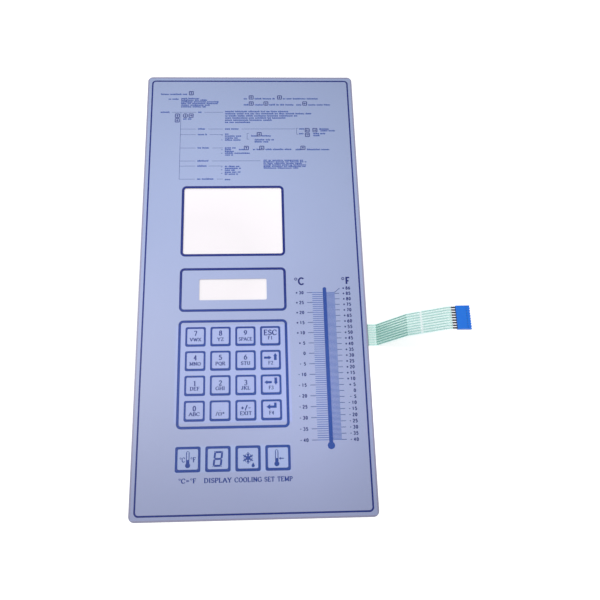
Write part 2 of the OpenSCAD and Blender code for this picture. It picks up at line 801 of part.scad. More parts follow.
overlay_film();
border_print();
frame_print();
key_outline_print();
key_symbol_print();
scale_tube_print();
scale_mark_print();
chart_print();
background_ink();
overlay_adhesive();
upper_circuit_film();
row_traces();
upper_contact_pads();
spacer();
bridge_pads();
lower_contact_pads();
column_traces();
lower_circuit_film();
tail_dielectric();
tail_second_cover();
contact_fingers();
rear_adhesive();
release_liner();
connector_housing();
crimp_contacts();
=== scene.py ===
# Looks of the membrane keypad: the finish of every layer, its printed legends, the light and the
# camera. Names that end in _MM, and the places and widths of all printed shapes, are millimetres
# in the panel's plane, from the middle of the panel, with X to the right and Y to the panel's top
# edge. Other lengths are metres.
import math
import random

import bpy
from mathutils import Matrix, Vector, geometry


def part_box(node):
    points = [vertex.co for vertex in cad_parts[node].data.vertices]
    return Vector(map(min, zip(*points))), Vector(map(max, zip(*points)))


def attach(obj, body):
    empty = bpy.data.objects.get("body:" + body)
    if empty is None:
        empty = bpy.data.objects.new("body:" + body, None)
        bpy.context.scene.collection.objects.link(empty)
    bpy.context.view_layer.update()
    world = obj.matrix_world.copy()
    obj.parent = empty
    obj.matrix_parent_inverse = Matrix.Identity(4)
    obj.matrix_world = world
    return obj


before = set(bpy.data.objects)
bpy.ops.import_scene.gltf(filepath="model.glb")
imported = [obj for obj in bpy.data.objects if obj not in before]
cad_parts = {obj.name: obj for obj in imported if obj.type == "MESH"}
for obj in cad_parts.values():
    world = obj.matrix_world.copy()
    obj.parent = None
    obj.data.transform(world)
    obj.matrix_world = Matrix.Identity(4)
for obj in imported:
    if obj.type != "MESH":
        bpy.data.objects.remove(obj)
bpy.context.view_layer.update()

MM = 0.001
BODY = "root"

# Places on the panel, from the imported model
panel_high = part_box("overlay_film")[1]
print_low, print_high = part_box("key_outline_print")
tube_low, tube_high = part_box("scale_tube_print")
# Bounds of the green sheet of painted shade on the tail's steep stretch
steep_shade_low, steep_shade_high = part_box("tail_second_cover")
PANEL_HALF_W = panel_high.x
PANEL_HALF_H = panel_high.y
COVER_END_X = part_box("tail_dielectric")[1].x
PRINT_BOTTOM = print_low.z
PRINT_TOP = print_high.z
BLOCK_X_MM = (print_low.x + print_high.x) / 2 / MM
BLOCK_HALF_W = (print_high.x - print_low.x) / 2
SCALE_X_MM = (tube_low.x + tube_high.x) / 2 / MM

# Keys: their pitch, outer size and outline, and the middle of the top row and of the lower row
KEY_PITCH_MM = 25
KEY_MM = 20.5
KEY_LINE_MM = 1.8
TOP_ROW_Y_MM = -66.25
LOW_KEY_MM = 24.2
LOW_KEY_LINE_MM = 2.3
LOW_PITCH_MM = ((print_high.x - print_low.x) / MM - LOW_KEY_MM) / 3
LOW_ROW_Y_MM = print_low.y / MM + LOW_KEY_MM / 2

# Temperature scale: length of a degree Celsius, its ends and the place of its top mark
DEGREE_MM = 2.156
HIGH_C = 30
HIGH_F = 86
LOW_END = -40
HIGH_C_Y_MM = -20.4


def key_middle(column, row):
    """Middle of one of the sixteen keys."""
    return BLOCK_X_MM + (column - 1.5) * KEY_PITCH_MM, TOP_ROW_Y_MM - row * KEY_PITCH_MM


def low_key_middle(column):
    """Middle of one of the lower keys."""
    return BLOCK_X_MM + (column - 1.5) * LOW_PITCH_MM, LOW_ROW_Y_MM


# Pen font: each glyph is a width, its strokes and its serifs, for a capital of height 1.
# A line is (x1, y1, x2, y2). An arc is (middle x, middle y, radius x, radius y, from, to).
# Serifs are (x, y) for a level one, and (x, y, height) for an upright one at the end of an arm.
ROUND = 360
GLYPHS = {
    "A": (0.80, [(0.04, 0, 0.40, 1), (0.40, 1, 0.76, 0), (0.17, 0.34, 0.62, 0.34)], [(0.06, 0), (0.74, 0)]),
    "B": (0.66, [(0.12, 0, 0.12, 1), (0, 1, 0.32, 1), (0.12, 0.52, 0.34, 0.52), (0, 0, 0.34, 0),
                 (0.32, 0.76, 0.22, 0.24, -90, 90), (0.34, 0.26, 0.26, 0.26, -90, 90)], []),
    "C": (0.74, [(0.41, 0.5, 0.37, 0.5, 42, 318)], [(0.69, 0.80, 0.34), (0.69, 0.18, 0.16)]),
    "D": (0.76, [(0.12, 0, 0.12, 1), (0, 1, 0.34, 1), (0, 0, 0.34, 0), (0.34, 0.5, 0.36, 0.5, -90, 90)], []),
    "E": (0.64, [(0.12, 0, 0.12, 1), (0, 1, 0.56, 1), (0.12, 0.52, 0.42, 0.52), (0, 0, 0.58, 0)],
          [(0.56, 0.9, 0.24), (0.58, 0.1, 0.24), (0.42, 0.52, 0.24)]),
    "F": (0.60, [(0.12, 0, 0.12, 1), (0, 1, 0.54, 1), (0.12, 0.50, 0.42, 0.50)],
          [(0.54, 0.9, 0.24), (0.42, 0.5, 0.24), (0.13, 0)]),
    "G": (0.80, [(0.41, 0.5, 0.37, 0.5, 42, 330), (0.70, 0.06, 0.70, 0.42)],
          [(0.68, 0.80, 0.30), (0.68, 0.42)]),
    "H": (0.80, [(0.13, 0, 0.13, 1), (0.67, 0, 0.67, 1), (0.13, 0.5, 0.67, 0.5)],
          [(0.13, 0), (0.13, 1), (0.67, 0), (0.67, 1)]),
    "I": (0.34, [(0.17, 0, 0.17, 1)], [(0.17, 0), (0.17, 1)]),
    "J": (0.48, [(0.32, 0.22, 0.32, 1), (0.17, 0.22, 0.15, 0.22, 190, ROUND)], [(0.32, 1)]),
    "K": (0.76, [(0.13, 0, 0.13, 1), (0.13, 0.38, 0.62, 1), (0.30, 0.56, 0.68, 0)],
          [(0.13, 0), (0.13, 1), (0.62, 1), (0.66, 0)]),
    "L": (0.62, [(0.13, 0, 0.13, 1), (0, 0, 0.56, 0)], [(0.56, 0.12, 0.28), (0.13, 1)]),
    "M": (0.96, [(0.13, 0, 0.13, 1), (0.13, 1, 0.48, 0.10), (0.48, 0.10, 0.82, 1), (0.83, 0, 0.83, 1)],
          [(0.12, 0), (0.83, 0), (0.08, 1), (0.87, 1)]),
    "N": (0.80, [(0.12, 0, 0.12, 1), (0.12, 1, 0.67, 0), (0.67, 0, 0.67, 1)],
          [(0.12, 0), (0.06, 1), (0.67, 1)]),
    "O": (0.80, [(0.40, 0.5, 0.34, 0.5, 0, ROUND)], []),
    "P": (0.62, [(0.12, 0, 0.12, 1), (0, 1, 0.33, 1), (0.12, 0.46, 0.33, 0.46),
                 (0.33, 0.73, 0.24, 0.27, -90, 90)], [(0.13, 0)]),
    "Q": (0.80, [(0.40, 0.5, 0.34, 0.5, 0, ROUND), (0.42, 0.10, 0.74, -0.16)], []),
    "R": (0.74, [(0.12, 0, 0.12, 1), (0, 1, 0.33, 1), (0.12, 0.48, 0.33, 0.48),
                 (0.33, 0.74, 0.24, 0.26, -90, 90), (0.34, 0.48, 0.66, 0)], [(0.13, 0), (0.67, 0)]),
    "S": (0.60, [(0.30, 0.75, 0.21, 0.25, 25, 270), (0.30, 0.26, 0.23, 0.25, -155, 90)],
          [(0.50, 0.84, 0.24), (0.08, 0.17, 0.24)]),
    "T": (0.70, [(0.35, 0, 0.35, 1), (0.05, 1, 0.65, 1)], [(0.05, 0.9, 0.24), (0.65, 0.9, 0.24), (0.35, 0)]),
    "U": (0.78, [(0.14, 0.3, 0.14, 1), (0.39, 0.3, 0.25, 0.3, 180, ROUND), (0.64, 0.3, 0.64, 1)],
          [(0.14, 1), (0.64, 1)]),
    "V": (0.76, [(0.06, 1, 0.38, 0), (0.38, 0, 0.70, 1)], [(0.06, 1), (0.70, 1)]),
    "W": (1.06, [(0.05, 1, 0.30, 0), (0.30, 0, 0.53, 0.9), (0.53, 0.9, 0.76, 0), (0.76, 0, 1.01, 1)],
          [(0.06, 1), (1.0, 1)]),
    "X": (0.76, [(0.08, 1, 0.68, 0), (0.66, 1, 0.08, 0)], [(0.1, 1), (0.66, 1), (0.08, 0), (0.67, 0)]),
    "Y": (0.74, [(0.07, 1, 0.37, 0.46), (0.67, 1, 0.37, 0.46), (0.37, 0, 0.37, 0.46)],
          [(0.08, 1), (0.66, 1), (0.37, 0)]),
    "Z": (0.66, [(0.06, 1, 0.58, 1), (0.58, 1, 0.06, 0), (0.06, 0, 0.60, 0)],
          [(0.06, 0.9, 0.24), (0.60, 0.1, 0.24)]),
    "0": (0.60, [(0.30, 0.5, 0.24, 0.5, 0, ROUND)], []),
    "1": (0.60, [(0.31, 0, 0.31, 1), (0.12, 0.82, 0.31, 1)], [(0.31, 0)]),
    "2": (0.60, [(0.29, 0.73, 0.23, 0.27, -38, 165), (0.47, 0.57, 0.07, 0.03), (0.05, 0, 0.55, 0)],
          [(0.55, 0.1, 0.2)]),
    "3": (0.60, [(0.27, 0.76, 0.21, 0.24, -90, 150), (0.27, 0.26, 0.25, 0.26, -150, 90)], []),
    "4": (0.60, [(0.42, 0, 0.42, 1), (0.42, 1, 0.05, 0.30), (0.03, 0.30, 0.57, 0.30)], [(0.42, 0)]),
    "5": (0.60, [(0.13, 0.98, 0.52, 0.98), (0.14, 0.98, 0.12, 0.52),
                 (0.27, 0.31, 0.25, 0.31, -150, 128)], []),
    "6": (0.60, [(0.30, 0.30, 0.24, 0.30, 0, ROUND), (0.56, 0.30, 0.50, 0.68, 96, 180)], []),
    "7": (0.60, [(0.06, 0.98, 0.55, 0.98), (0.55, 0.98, 0.24, 0)], [(0.06, 0.9, 0.2)]),
    "8": (0.60, [(0.30, 0.76, 0.20, 0.24, 0, ROUND), (0.30, 0.26, 0.24, 0.26, 0, ROUND)], []),
    "9": (0.60, [(0.30, 0.70, 0.24, 0.30, 0, ROUND), (0.04, 0.70, 0.50, 0.68, -84, 0)], []),
    "+": (0.66, [(0.06, 0.46, 0.60, 0.46), (0.33, 0.19, 0.33, 0.73)], []),
    "-": (0.54, [(0.08, 0.46, 0.46, 0.46)], []),
    "=": (0.72, [(0.08, 0.60, 0.64, 0.60), (0.08, 0.36, 0.64, 0.36)], []),
    "/": (0.46, [(0.04, -0.06, 0.42, 1.06)], []),
    ".": (0.28, [(0.07, 0.06, 0.21, 0.06)], []),
    "(": (0.36, [(0.42, 0.42, 0.30, 0.64, 125, 235)], []),
    ")": (0.36, [(-0.06, 0.42, 0.30, 0.64, -55, 55)], []),
    "*": (0.50, [(0.25, 0.46, 0.25, 0.94), (0.05, 0.58, 0.45, 0.82), (0.05, 0.82, 0.45, 0.58)], []),
    "deg": (0.40, [(0.20, 0.84, 0.16, 0.17, 0, ROUND)], []),
    " ": (0.40, [], []),
}

# Pens: half width and half height of the nib, its slant in degrees, half the serif's length and
# thickness, and the gap between letters. All lengths are parts of the capital's height.
SERIF = {"nib": (0.11, 0.065), "slant": 18, "serif": (0.155, 0.052), "gap": 0.12}
BOLD_SERIF = {"nib": (0.118, 0.068), "slant": 18, "serif": (0.16, 0.055), "gap": 0.12}
SANS = {"nib": (0.148, 0.13), "slant": 0, "serif": None, "gap": 0.28}
BOLD_SANS = {"nib": (0.122, 0.112), "slant": 0, "serif": None, "gap": 0.16}
SIGN_SANS = {"nib": (0.19, 0.17), "slant": 0, "serif": None, "gap": 0}
# The ring of a degree sign is thin in every pen
DEGREE_NIB = (0.052, 0.05)
# Longest stretch of an arc that is drawn straight, in degrees, and the fewest stretches
ARC_STEP = 18
ARC_PARTS = 4
# A stroke is closed where its ends are nearer than this
CLOSED_WITHIN = 1e-6
# For the triangulation: it keeps what is inside the outlines, and merges points this near
INSIDE_ONLY = 1
MERGE_MM = 1e-5


def reach(normal, pen):
    """How far the nib reaches on each side of a stroke whose normal is given."""
    slant = math.radians(pen["slant"])
    along = normal.x * math.cos(slant) + normal.y * math.sin(slant)
    across = normal.y * math.cos(slant) - normal.x * math.sin(slant)
    return math.hypot(along * pen["nib"][0], across * pen["nib"][1])


def band(points, pen):
    """Quads along a stroke's points, as wide as the nib makes them."""
    closed = (points[0] - points[-1]).length < CLOSED_WITHIN
    last = len(points) - 1
    sides = []
    for i, p in enumerate(points):
        if closed:
            before = points[i - 1 if i else -2]
            after = points[i + 1 if i < last else 1]
        else:
            before = points[max(i - 1, 0)]
            after = points[min(i + 1, last)]
        d = (after - before).normalized()
        n = Vector((-d.y, d.x))
        sides.append((p + n * reach(n, pen), p - n * reach(n, pen)))
    return [(a[1], b[1], b[0], a[0]) for a, b in zip(sides, sides[1:])]


def stroke_points(stroke):
    """Points of a line or an arc."""
    if len(stroke) == 4:
        return [Vector(stroke[:2]), Vector(stroke[2:])]
    x, y, rx, ry, start, end = stroke
    count = max(ARC_PARTS, math.ceil(abs(end - start) / ARC_STEP))
    angles = [math.radians(start + (end - start) * k / count) for k in range(count + 1)]
    return [Vector((x + rx * math.cos(a), y + ry * math.sin(a))) for a in angles]


def corners_of(rect):
    """The four corners of a rectangle (x1, y1, x2, y2), anticlockwise."""
    x1, y1, x2, y2 = rect
    return (x1, y1), (x2, y1), (x2, y2), (x1, y2)


def glyph_quads(name, pen):
    """A glyph's width, and its strokes and serifs as quads, for a capital of height 1."""
    width, strokes, serifs = GLYPHS[name]
    if name == "deg":
        pen = dict(pen, nib=DEGREE_NIB)
    quads = []
    for stroke in strokes:
        quads += band(stroke_points(stroke), pen)
    if pen["serif"]:
        half, thin = pen["serif"]
        for serif in serifs:
            x, y = serif[:2]
            w, h = (half, thin) if len(serif) == 2 else (thin, serif[2] / 2)
            quads.append([Vector(c) for c in corners_of((x - w, y - h, x + w, y + h))])
    return width, quads


def union(outlines):
    """Overlapping convex outlines as one flat shape of triangles: its points and its faces."""
    points = []
    faces = []
    for outline in outlines:
        faces.append(list(range(len(points), len(points) + len(outline))))
        points += outline
    result = geometry.delaunay_2d_cdt(points, [], faces, INSIDE_ONLY, MERGE_MM)
    covered = [f for f, source in zip(result[2], result[5]) if source]
    return result[0], covered


def write(text, x, y, cap, pen, width=None, align=0.5):
    """A line of text as a flat shape, in millimetres. y is the middle of its capitals, width its
    length, and align is 0 where x is its left end, 0.5 its middle and 1 its right end. text is a
    string or a list of glyph names."""
    start = 0
    quads = []
    for name in text:
        advance, shape = glyph_quads(name, pen)
        quads += [[Vector((p.x + start, p.y)) for p in q] for q in shape]
        start += advance + pen["gap"]
    length = start - pen["gap"]
    stretch = width / length if width else cap
    left = x - align * length * stretch
    return union([[Vector((left + p.x * stretch, y + (p.y - 0.5) * cap)) for p in q] for q in quads])


def rectangles(rects):
    """Separate rectangles as flat shapes."""
    return [([Vector(c) for c in corners_of(rect)], [(0, 1, 2, 3)]) for rect in rects]


def clockwise(corners):
    """Whether the corners of a convex outline run clockwise."""
    a, b, c = corners[:3]
    return (b.x - a.x) * (c.y - a.y) - (b.y - a.y) * (c.x - a.x) < 0


def anticlockwise(corners):
    """The same outline, with corners that run anticlockwise."""
    return list(reversed(corners)) if clockwise(corners) else corners


def turned_outline(outline, middle, along, side=1):
    """An outline of points (along, across) about middle, mirrored where side is -1."""
    across = Vector((-along.y, along.x))
    return anticlockwise([middle + along * a + across * side * b for a, b in outline])


def prism(points, faces, verts, polys):
    """Adds a flat shape to verts and polys as a closed solid as thick as the printing."""
    facing_up = []
    for f in faces:
        facing_up.append(list(reversed(f)) if clockwise([points[i] for i in f]) else list(f))
    used = sorted({i for f in facing_up for i in f})
    low = {i: len(verts) + k for k, i in enumerate(used)}
    high = {i: low[i] + len(used) for i in used}
    for z in (PRINT_BOTTOM, PRINT_TOP):
        verts.extend((points[i].x * MM, points[i].y * MM, z) for i in used)
    edges = {(f[k - 1], f[k]) for f in facing_up for k in range(len(f))}
    for f in facing_up:
        polys.append([high[i] for i in f])
        polys.append([low[i] for i in reversed(f)])
    for a, b in sorted(edges):
        if (b, a) not in edges:
            polys.append([low[a], low[b], high[b], high[a]])


def printed_piece(name, shapes, ink):
    """One printed piece made of flat shapes, each a pair of points and faces."""
    verts = []
    polys = []
    for points, faces in shapes:
        prism(points, faces, verts, polys)
    mesh = bpy.data.meshes.new(name)
    mesh.from_pydata(verts, [], polys)
    mesh.materials.append(ink)
    piece = bpy.data.objects.new(name, mesh)
    bpy.context.scene.collection.objects.link(piece)
    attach(piece, BODY)


def linear(red, green, blue):
    """Scene colour of a display colour whose parts run from 0 to 255."""
    parts = [c / 255 for c in (red, green, blue)]
    return tuple(c / 12.92 if c <= 0.04045 else ((c + 0.055) / 1.055) ** 2.4 for c in parts) + (1.0,)


# Materials. Each one takes its detail from procedural textures in the object's own space, whose
# scales are features a metre. The functions below also serve the floor and the world.
def material(name, **sockets):
    """New material whose Principled shader has the given sockets set."""
    mat = bpy.data.materials.new(name)
    mat.use_nodes = True
    for socket, value in sockets.items():
        shader_of(mat).inputs[socket.replace("_", " ")].default_value = value
    return mat


def shader_of(mat):
    """The material's Principled shader."""
    return mat.node_tree.nodes["Principled BSDF"]


def node(mat, kind, **settings):
    """New node with its settings."""
    new = mat.node_tree.nodes.new("ShaderNode" + kind)
    for key, value in settings.items():
        setattr(new, key, value)
    return new


def join(mat, output, socket):
    """Links an output to a socket."""
    mat.node_tree.links.new(output, socket)


def base_color(mat, color):
    """Links a colour to the shader."""
    join(mat, color, shader_of(mat).inputs["Base Color"])


def place(mat, stretch=(1, 1, 1)):
    """Object coordinates. A stretch below 1 draws the detail out along that axis."""
    coords = node(mat, "TexCoord")
    mapping = node(mat, "Mapping")
    mapping.inputs["Scale"].default_value = stretch
    join(mat, coords.outputs["Object"], mapping.inputs["Vector"])
    return mapping.outputs["Vector"]


def coordinate(mat, axis):
    """The X, Y or Z of a point."""
    split = node(mat, "SeparateXYZ")
    join(mat, place(mat), split.inputs["Vector"])
    return split.outputs[axis]


def noise(mat, scale, detail=3.0, stretch=(1, 1, 1)):
    """Noise from 0 to 1."""
    tex = node(mat, "TexNoise")
    tex.inputs["Scale"].default_value = scale
    tex.inputs["Detail"].default_value = detail
    join(mat, place(mat, stretch), tex.inputs["Vector"])
    return tex.outputs["Fac"]


def span(mat, value, low, high, to_low=0.0, to_high=1.0, kind="SMOOTHSTEP"):
    """Value mapped from one range to another, and held at the ends."""
    new = node(mat, "MapRange", interpolation_type=kind)
    for socket, number in zip(("From Min", "From Max", "To Min", "To Max"), (low, high, to_low, to_high)):
        new.inputs[socket].default_value = number
    join(mat, value, new.inputs["Value"])
    return new.outputs["Result"]


def math_node(mat, operation, first, second=None):
    """Result of an operation on numbers or other nodes' outputs."""
    new = node(mat, "Math", operation=operation)
    for socket, value in zip(new.inputs, (first, second)):
        if isinstance(value, (int, float)):
            socket.default_value = value
        elif value is not None:
            join(mat, value, socket)
    return new.outputs["Value"]


def distance_from(mat, value, middle):
    """How far a value is from middle."""
    return math_node(mat, "ABSOLUTE", math_node(mat, "SUBTRACT", value, middle))


def blend(mat, factor, first, second):
    """Colour between first and second. Each one, and the factor, is fixed or a node's output."""
    mix = node(mat, "Mix", data_type="RGBA")
    if isinstance(factor, float):
        mix.inputs["Factor"].default_value = factor
    else:
        join(mat, factor, mix.inputs["Factor"])
    for socket, value in (("A", first), ("B", second)):
        target = [s for s in mix.inputs if s.name == socket and s.type == "RGBA"][0]
        if isinstance(value, tuple):
            target.default_value = value
        else:
            join(mat, value, target)
    return [s for s in mix.outputs if s.type == "RGBA"][0]


def bump(mat, height, strength, distance):
    """Bump of a height on the shader's surface."""
    new = node(mat, "Bump")
    new.inputs["Strength"].default_value = strength
    new.inputs["Distance"].default_value = distance
    join(mat, height, new.inputs["Height"])
    join(mat, new.outputs["Normal"], shader_of(mat).inputs["Normal"])


def depth_inside(mat, x, y, half_w, half_h):
    """Distance from the rim of a rectangle to a point inside it, below 0 outside."""
    depth_x = math_node(mat, "SUBTRACT", half_w, distance_from(mat, coordinate(mat, "X"), x))
    depth_y = math_node(mat, "SUBTRACT", half_h, distance_from(mat, coordinate(mat, "Y"), y))
    return math_node(mat, "MINIMUM", depth_x, depth_y)


def shade(color, factor):
    """A colour made darker or lighter."""
    return tuple(c * factor for c in color[:3]) + (1.0,)


# The frames' ink grows heavier from the second row of keys up to just above the panel's middle
DEEP_FROM_Y = -0.09
DEEP_TO_Y = 0.012
# Middle of the scale's short marks, as an offset from the tube, and how far from that middle they
# end and only long marks go on
SHORT_MARKS_OFF_MM = -1.25
SHORT_MARKS_END = 0.0112
LONG_MARKS_START = 0.0122


def upper_half(mat):
    """1 on the panel's upper half, 0 from the second row of keys down."""
    return span(mat, coordinate(mat, "Y"), DEEP_FROM_Y, DEEP_TO_Y)


def outer_marks(mat):
    """1 past the scale's short marks, 0 among them."""
    off = distance_from(mat, coordinate(mat, "X"), (SCALE_X_MM + SHORT_MARKS_OFF_MM) * MM)
    return span(mat, off, SHORT_MARKS_END, LONG_MARKS_START)


# Printed ink: scale of its clouds and of the grain that the printing mesh leaves, the range that
# most of the grain's noise is in, how much clouds and grain vary, and the grain's share
INK_CLOUDS = 45
INK_GRAIN = 1400
GRAIN_RANGE = (0.35, 0.65)
CLOUD_SPREAD = 0.12
GRAIN_SPREAD = 0.07
GRAIN_SHARE = 0.35


def printed_ink(name, color, deep=None, where=None):
    """Screen-printed ink. With deep, the ink has that colour in the part that where marks."""
    mat = material(name, Roughness=0.42, Specular_IOR_Level=0.15)
    part = where(mat) if deep else None

    def tone_at(factor):
        """The ink's colour, times a factor."""
        if deep:
            return blend(mat, part, shade(color, factor), shade(deep, factor))
        return shade(color, factor)

    def tones(pattern, spread):
        """The ink's colour, made darker and lighter by a pattern."""
        return blend(mat, pattern, tone_at(1 - spread), tone_at(1 + spread))

    clouds = tones(noise(mat, INK_CLOUDS), CLOUD_SPREAD)
    grain = tones(span(mat, noise(mat, INK_GRAIN, detail=2), *GRAIN_RANGE), GRAIN_SPREAD)
    base_color(mat, blend(mat, GRAIN_SHARE, clouds, grain))
    bump(mat, noise(mat, 2200, detail=2), strength=0.12, distance=0.00004)
    return mat


# Colours of the panel's ground, where a pair is the two tones of the ink's clouds
LILAC_TOP = (linear(178, 200, 236), linear(168, 191, 228))
LILAC_FOOT = (linear(178, 194, 230), linear(168, 185, 222))
KEY_FIELD = linear(175, 195, 241)
LOW_FIELD = linear(176, 199, 240)
# Painted shade of the panel's edge
EDGE_SHADE_MAUVE = linear(163, 168, 196)
# How far the fields round the keys reach past them, and how softly each field starts
KEY_FIELD_SIDE = 0.003
KEY_FIELD_SOFT = 0.0015
LOW_FIELD_SIDE = 0.0015
LOW_FIELD_ENDS_MM = 1.8
LOW_FIELD_SOFT = 0.003
# Painted shade along the panel's edge: a darker, greyer band, gone between these distances from it
EDGE_SHADE_BAND = (0.0011, 0.0021)


def background_material():
    """Pale opaque ink, bluer round the keys, with painted shade along the panel's edge."""
    mat = material("background_ink", Roughness=0.4, Specular_IOR_Level=0.2)
    clouds = noise(mat, 7, detail=4)
    up = span(mat, coordinate(mat, "Y"), -PANEL_HALF_H, PANEL_HALF_H)
    tone = blend(mat, up, blend(mat, clouds, *LILAC_FOOT), blend(mat, clouds, *LILAC_TOP))
    block_x = BLOCK_X_MM * MM
    keys_y = (TOP_ROW_Y_MM - 1.5 * KEY_PITCH_MM) * MM
    keys = depth_inside(mat, block_x, keys_y, BLOCK_HALF_W + KEY_FIELD_SIDE, 2 * KEY_PITCH_MM * MM)
    tone = blend(mat, span(mat, keys, 0, KEY_FIELD_SOFT), tone, KEY_FIELD)
    low_half_h = (LOW_KEY_MM / 2 + LOW_FIELD_ENDS_MM) * MM
    low_keys = depth_inside(mat, block_x, LOW_ROW_Y_MM * MM, BLOCK_HALF_W + LOW_FIELD_SIDE, low_half_h)
    tone = blend(mat, span(mat, low_keys, 0, LOW_FIELD_SOFT), tone, LOW_FIELD)
    rim_depth = depth_inside(mat, 0, 0, PANEL_HALF_W, PANEL_HALF_H)
    base_color(mat, blend(mat, span(mat, rim_depth, *EDGE_SHADE_BAND, 1.0, 0.0), tone, EDGE_SHADE_MAUVE))
    bump(mat, noise(mat, 2600, detail=2), strength=0.15, distance=0.00004)
    return mat


def overlay_material():
    """Clear film with a fine satin face."""
    mat = material("clear_overlay", Roughness=0.3, Alpha=0.04, Base_Color=linear(200, 130, 200))
    bump(mat, noise(mat, 2600, detail=2), strength=0.1, distance=0.00004)
    return mat


# Along the tail: the crease of its film and how the painted highlight on it fades, the stretch where
# the cover's far, deeper part starts, and the distances from the panel's edge between which the
# painted shadow that the panel's edge casts on the cover fades
CREASE_X = 0.1626
CREASE_HIGHLIGHT_FADE = (0.0004, 0.0013)
FAR_START_X = (0.1494, 0.1506)
EDGE_SHADOW_FADE = (0.0003, 0.001)
# How opaque the cover is on its near and far part, and what the painted edge shadow adds
NEAR_ALPHA = 0.08
FAR_ALPHA = 0.16
EDGE_SHADOW_ALPHA = 0.3


def crease_of(mat, along):
    """Mask of the painted highlight: 1 at the tail's crease, 0 away from it."""
    return span(mat, distance_from(mat, along, CREASE_X), *CREASE_HIGHLIGHT_FADE, 1.0, 0.0)


def circuit_film_material():
    """Clear film, neutral past the end of the green cover."""
    mat = material("circuit_film", Roughness=0.16, Alpha=0.14)
    tone = blend(mat, noise(mat, 60), linear(154, 250, 241), linear(164, 254, 248))
    soft = 0.0003
    bare = span(mat, coordinate(mat, "X"), COVER_END_X - soft, COVER_END_X + soft)
    base_color(mat, blend(mat, bare, tone, linear(198, 212, 244)))
    bump(mat, noise(mat, 90), strength=0.05, distance=0.0004)
    return mat


def dielectric_material():
    """Green cover of the tail, with a painted shadow where it leaves the panel's edge and a painted
    highlight at the film's crease.
    """
    mat = material("green_dielectric", Roughness=0.3, Alpha=0.1)
    along = coordinate(mat, "X")
    drift = noise(mat, 120)
    near_mint = blend(mat, drift, linear(200, 255, 246), linear(190, 253, 240))
    far_mint = blend(mat, drift, linear(172, 238, 229), linear(162, 231, 222))
    mint = blend(mat, span(mat, along, *FAR_START_X), near_mint, far_mint)
    # Painted highlight: the cover turns white at the crease
    crease_highlit = blend(mat, crease_of(mat, along), mint, linear(240, 255, 255))
    # Painted shadow where the tail leaves the panel's edge: foot is 1 there and makes the cover deeper green
    # and more opaque
    fade_start, fade_end = (PANEL_HALF_W + distance for distance in EDGE_SHADOW_FADE)
    foot = span(mat, along, fade_start, fade_end, 1.0, 0.0)
    base_color(mat, blend(mat, foot, crease_highlit, linear(70, 168, 150)))
    cover_alpha = span(mat, along, *FAR_START_X, NEAR_ALPHA, FAR_ALPHA)
    edge_shadow_alpha = math_node(mat, "MULTIPLY", foot, EDGE_SHADOW_ALPHA)
    join(mat, math_node(mat, "ADD", cover_alpha, edge_shadow_alpha), shader_of(mat).inputs["Alpha"])
    bump(mat, noise(mat, 900, detail=2), strength=0.1, distance=0.00005)
    return mat


def second_cover_material():
    """Painted shade over the steep stretch of the tail: a second green sheet that darkens the cover there.
    """
    mat = material("steep_shade_green_cover", Roughness=0.3, Alpha=0.14)
    base_color(mat, blend(mat, noise(mat, 120), linear(144, 255, 232), linear(134, 250, 224)))
    bump(mat, noise(mat, 900, detail=2), strength=0.1, distance=0.00005)
    return mat


def silver_material():
    """Printed silver, with painted shade on the tail's steep stretch and a painted highlight at its crease.
    """
    mat = material("silver_ink", Metallic=0.3, Roughness=0.55)
    along = coordinate(mat, "X")
    tone = blend(mat, noise(mat, 1500, detail=2), linear(184, 217, 213), linear(200, 231, 227))
    # Painted shade on the silver of the tail's steep stretch
    half = (steep_shade_high.x - steep_shade_low.x) / 2
    soft = 0.0002
    off = distance_from(mat, along, (steep_shade_low.x + steep_shade_high.x) / 2)
    steep = blend(mat, span(mat, off, half - soft, half + soft, 1.0, 0.0), tone, linear(128, 176, 169))
    base_color(mat, blend(mat, crease_of(mat, along), steep, linear(252, 254, 254)))
    bump(mat, noise(mat, 3000, detail=2), strength=0.25, distance=0.00005)
    return mat


def carbon_material():
    """Printed carbon, matt and nearly black."""
    mat = material("carbon_ink", Roughness=0.62)
    base_color(mat, blend(mat, noise(mat, 1800, detail=2), linear(9, 10, 14), linear(19, 20, 27)))
    bump(mat, noise(mat, 2500, detail=2), strength=0.3, distance=0.00005)
    return mat


def adhesive_material():
    """Clear acrylic adhesive."""
    mat = material("adhesive", Roughness=0.35, Alpha=0.6)
    base_color(mat, blend(mat, noise(mat, 200), linear(236, 236, 230), linear(222, 222, 214)))
    return mat


def spacer_material():
    """Milky film of the spacer."""
    mat = material("spacer_film", Roughness=0.3)
    base_color(mat, blend(mat, noise(mat, 150), linear(232, 236, 236), linear(220, 226, 226)))
    return mat


def liner_material():
    """Coated paper with its fibres along Y."""
    mat = material("release_liner", Roughness=0.5)
    fibres = noise(mat, 900, detail=4, stretch=(1, 0.35, 1))
    base_color(mat, blend(mat, span(mat, fibres, 0.3, 0.7), linear(226, 222, 208), linear(240, 237, 226)))
    bump(mat, fibres, strength=0.2, distance=0.0001)
    return mat


def housing_material():
    """Moulded blue plastic."""
    mat = material("blue_housing", Roughness=0.38)
    base_color(mat, blend(mat, noise(mat, 260), linear(0, 121, 255), linear(10, 137, 255)))
    bump(mat, noise(mat, 3200, detail=2), strength=0.2, distance=0.00005)
    return mat


def tin_material():
    """Tin-plated strip, drawn along X. Its colour is darker than bare tin: painted shade for the contacts
    seen deep in the housing's windows.
    """
    mat = material("contact_metal", Metallic=1.0, Roughness=0.35)
    streaks = noise(mat, 700, detail=2, stretch=(0.1, 1, 1))
    base_color(mat, blend(mat, streaks, linear(150, 149, 146), linear(182, 181, 178)))
    bump(mat, noise(mat, 3000, detail=2, stretch=(0.1, 1, 1)), strength=0.15, distance=0.00003)
    return mat


